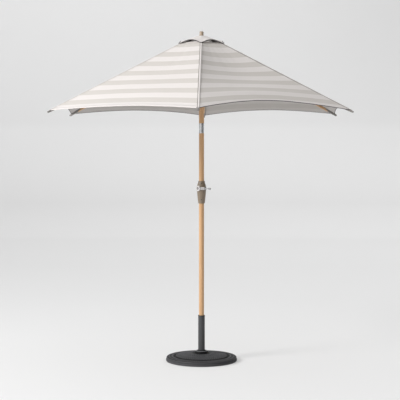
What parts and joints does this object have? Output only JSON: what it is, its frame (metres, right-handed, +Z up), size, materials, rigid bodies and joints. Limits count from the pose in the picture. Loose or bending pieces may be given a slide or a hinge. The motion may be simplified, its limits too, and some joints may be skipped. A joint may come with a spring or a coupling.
{
  "type": "patio umbrella",
  "caption": "Free-standing patio umbrella with striped ribbed canopy, vent cap, crank lift, tilting wood-look pole and round weighted base.",
  "frame": {"origin": "on the floor at the pole's axis, centre of the base's underside", "axes": "+Z up along the pole, -Y towards the viewer and the first rib, +X to the viewer's right"},
  "size_m": [2.1112, 2.428, 2.4431],
  "materials": {
    "rubber": "matte black rubber pads",
    "base_resin": "dark grey moulded resin, fine embossed pattern, satin",
    "base_metal": "dark grey powder coat, satin",
    "dark_plastic": "dark grey nylon",
    "pole_finish": "light wood-grain finish, satin varnish",
    "rib_wood": "light hardwood, satin varnish",
    "chrome": "polished chrome",
    "housing_plastic": "taupe brown moulded plastic, satin",
    "crank_plastic": "light grey plastic",
    "knob_plastic": "mid grey plastic",
    "steel": "zinc-plated steel",
    "fitting_grey": "grey fittings, satin",
    "finial_taupe": "taupe plastic, satin",
    "canopy_fabric": "woven cloth, off-white with greige stripes parallel to the hem",
    "cord": "braided cord"
  },
  "bodies": {
    "base": {"base_feet": "rubber", "base_disc": "base_resin", "base_tube": "base_metal", "base_collar": "base_metal", "tube_bolt": "steel", "pole_inserts": "dark_plastic"},
    "clamp_pad": {"clamp_pad": "dark_plastic"},
    "clamp_knob": {"clamp_screw": "steel", "clamp_knob": "dark_plastic"},
    "stem": {"lower_pole": "pole_finish", "middle_pole": "pole_finish", "housing_front": "housing_plastic", "housing_rear": "housing_plastic", "housing_screws": "steel", "shaft_bushings": "dark_plastic", "tilt_socket": "chrome", "tilt_pins": "steel", "lift_cord_lower": "cord"},
    "tilt_button": {"tilt_button": "chrome"},
    "crank": {"crank_spool": "steel", "cord_on_spool": "cord", "crank_arm": "crank_plastic"},
    "knob_stem": {"knob_stem": "chrome"},
    "crank_knob": {"crank_knob": "knob_plastic"},
    "upper": {"tilt_head": "chrome", "upper_pole": "pole_finish", "top_hub": "dark_plastic", "hub_pins": "steel", "vent_cap": "canopy_fabric", "finial": "finial_taupe", "pulley_axle": "steel", "lift_cord_upper": "cord"},
    "pulley": {"pulley": "dark_plastic"},
    "runner": {"runner": "housing_plastic", "runner_pins": "steel", "lift_cord_run": "cord"},
    "rib_1": {"rib_1": "rib_wood", "rib_fittings_1": "fitting_grey", "canopy_panel_1": "canopy_fabric"},
    "strut_1": {"strut_1": "rib_wood"},
    "rib_2": {"rib_2": "rib_wood", "rib_fittings_2": "fitting_grey", "canopy_panel_2": "canopy_fabric"},
    "strut_2": {"strut_2": "rib_wood"},
    "rib_3": {"rib_3": "rib_wood", "rib_fittings_3": "fitting_grey", "canopy_panel_3": "canopy_fabric"},
    "strut_3": {"strut_3": "rib_wood"},
    "rib_4": {"rib_4": "rib_wood", "rib_fittings_4": "fitting_grey", "canopy_panel_4": "canopy_fabric"},
    "strut_4": {"strut_4": "rib_wood"},
    "rib_5": {"rib_5": "rib_wood", "rib_fittings_5": "fitting_grey", "canopy_panel_5": "canopy_fabric"},
    "strut_5": {"strut_5": "rib_wood"},
    "rib_6": {"rib_6": "rib_wood", "rib_fittings_6": "fitting_grey", "canopy_panel_6": "canopy_fabric"},
    "strut_6": {"strut_6": "rib_wood"}
  },
  "joints": [
    {"name": "pole_turn", "type": "hinge", "parent": "base", "child": "stem", "pos_m": [0, 0, 0.2], "axis": [0, 0, 1], "continuous": true},
    {"name": "clamp_pad_slide", "type": "slide", "parent": "base", "child": "clamp_pad", "axis": [0, 1, 0], "range_m": [0, 0.003]},
    {"name": "clamp_knob_turn", "type": "hinge", "parent": "clamp_pad", "child": "clamp_knob", "pos_m": [0, 0.05, 0.29], "axis": [0, 1, 0], "range_deg": [0, 720]},
    {"name": "tilt_button_press", "type": "slide", "parent": "stem", "child": "tilt_button", "axis": [0, -1, 0], "range_m": [0, 0.002], "stiffness_N_per_m": 600, "springref_m": -0.003},
    {"name": "crank_turn", "type": "hinge", "parent": "stem", "child": "crank", "pos_m": [0, 0, 1.287], "axis": [-0.6691, -0.7431, 0], "range_deg": [0, 2880]},
    {"name": "knob_fold_out", "type": "hinge", "parent": "crank", "child": "knob_stem", "pos_m": [0.0318, -0.08125, 1.287], "axis": [0, 0, -1], "range_deg": [0, 90]},
    {"name": "knob_spin", "type": "hinge", "parent": "knob_stem", "child": "crank_knob", "pos_m": [0.0318, -0.08125, 1.287], "axis": [0.7431, -0.6691, 0], "continuous": true},
    {"name": "tilt", "type": "hinge", "parent": "stem", "child": "upper", "pos_m": [0, 0, 1.73], "axis": [0.866, -0.5, 0], "range_deg": [0, 30]},
    {"name": "pulley_turn", "type": "hinge", "parent": "upper", "child": "pulley", "pos_m": [0.0055, 0.00953, 2.34], "axis": [-0.866, 0.5, 0], "range_deg": [0, 2880]},
    {"name": "rib_1_fold", "type": "hinge", "parent": "upper", "child": "rib_1", "pos_m": [0, -0.038, 2.388], "axis": [1, 0, 0], "range_deg": [0, 57.6], "deforming": ["canopy_panel_1"]},
    {"name": "strut_1_swing", "type": "hinge", "parent": "rib_1", "child": "strut_1", "pos_m": [0, -0.48946, 2.15998], "axis": [1, 0, 0], "range_deg": [-115.2, 0]},
    {"name": "rib_2_fold", "type": "hinge", "parent": "upper", "child": "rib_2", "pos_m": [0.03291, -0.019, 2.388], "axis": [0.5, 0.866, 0], "range_deg": [0, 57.6], "deforming": ["canopy_panel_2"]},
    {"name": "strut_2_swing", "type": "hinge", "parent": "rib_2", "child": "strut_2", "pos_m": [0.42389, -0.24473, 2.15998], "axis": [0.5, 0.866, 0], "range_deg": [-115.2, 0]},
    {"name": "rib_3_fold", "type": "hinge", "parent": "upper", "child": "rib_3", "pos_m": [0.03291, 0.019, 2.388], "axis": [-0.5, 0.866, 0], "range_deg": [0, 57.6], "deforming": ["canopy_panel_3"]},
    {"name": "strut_3_swing", "type": "hinge", "parent": "rib_3", "child": "strut_3", "pos_m": [0.42389, 0.24473, 2.15998], "axis": [-0.5, 0.866, 0], "range_deg": [-115.2, 0]},
    {"name": "rib_4_fold", "type": "hinge", "parent": "upper", "child": "rib_4", "pos_m": [0, 0.038, 2.388], "axis": [-1, 0, 0], "range_deg": [0, 57.6], "deforming": ["canopy_panel_4"]},
    {"name": "strut_4_swing", "type": "hinge", "parent": "rib_4", "child": "strut_4", "pos_m": [0, 0.48946, 2.15998], "axis": [-1, 0, 0], "range_deg": [-115.2, 0]},
    {"name": "rib_5_fold", "type": "hinge", "parent": "upper", "child": "rib_5", "pos_m": [-0.03291, 0.019, 2.388], "axis": [-0.5, -0.866, 0], "range_deg": [0, 57.6], "deforming": ["canopy_panel_5"]},
    {"name": "strut_5_swing", "type": "hinge", "parent": "rib_5", "child": "strut_5", "pos_m": [-0.42389, 0.24473, 2.15998], "axis": [-0.5, -0.866, 0], "range_deg": [-115.2, 0]},
    {"name": "rib_6_fold", "type": "hinge", "parent": "upper", "child": "rib_6", "pos_m": [-0.03291, -0.019, 2.388], "axis": [0.5, -0.866, 0], "range_deg": [0, 57.6], "deforming": ["canopy_panel_6"]},
    {"name": "strut_6_swing", "type": "hinge", "parent": "rib_6", "child": "strut_6", "pos_m": [-0.42389, -0.24473, 2.15998], "axis": [0.5, -0.866, 0], "range_deg": [-115.2, 0]},
    {"name": "runner_pivot", "type": "hinge", "parent": "strut_1", "child": "runner", "pos_m": [0, -0.038, 1.93197], "axis": [1, 0, 0], "range_deg": [0, 57.6]}
  ],
  "couplings": [
    {"joint": "clamp_pad_slide", "follows": "clamp_knob_turn", "m_per_rad": 0.00023873},
    {"joint": "crank_turn", "follows": "rib_1_fold", "ratio": 50},
    {"joint": "pulley_turn", "follows": "rib_1_fold", "ratio": 49.798},
    {"joint": "strut_1_swing", "follows": "rib_1_fold", "ratio": -2},
    {"joint": "rib_2_fold", "follows": "rib_1_fold", "ratio": 1},
    {"joint": "strut_2_swing", "follows": "rib_1_fold", "ratio": -2},
    {"joint": "rib_3_fold", "follows": "rib_1_fold", "ratio": 1},
    {"joint": "strut_3_swing", "follows": "rib_1_fold", "ratio": -2},
    {"joint": "rib_4_fold", "follows": "rib_1_fold", "ratio": 1},
    {"joint": "strut_4_swing", "follows": "rib_1_fold", "ratio": -2},
    {"joint": "rib_5_fold", "follows": "rib_1_fold", "ratio": 1},
    {"joint": "strut_5_swing", "follows": "rib_1_fold", "ratio": -2},
    {"joint": "rib_6_fold", "follows": "rib_1_fold", "ratio": 1},
    {"joint": "strut_6_swing", "follows": "rib_1_fold", "ratio": -2},
    {"joint": "runner_pivot", "follows": "rib_1_fold", "ratio": 1}
  ]
}
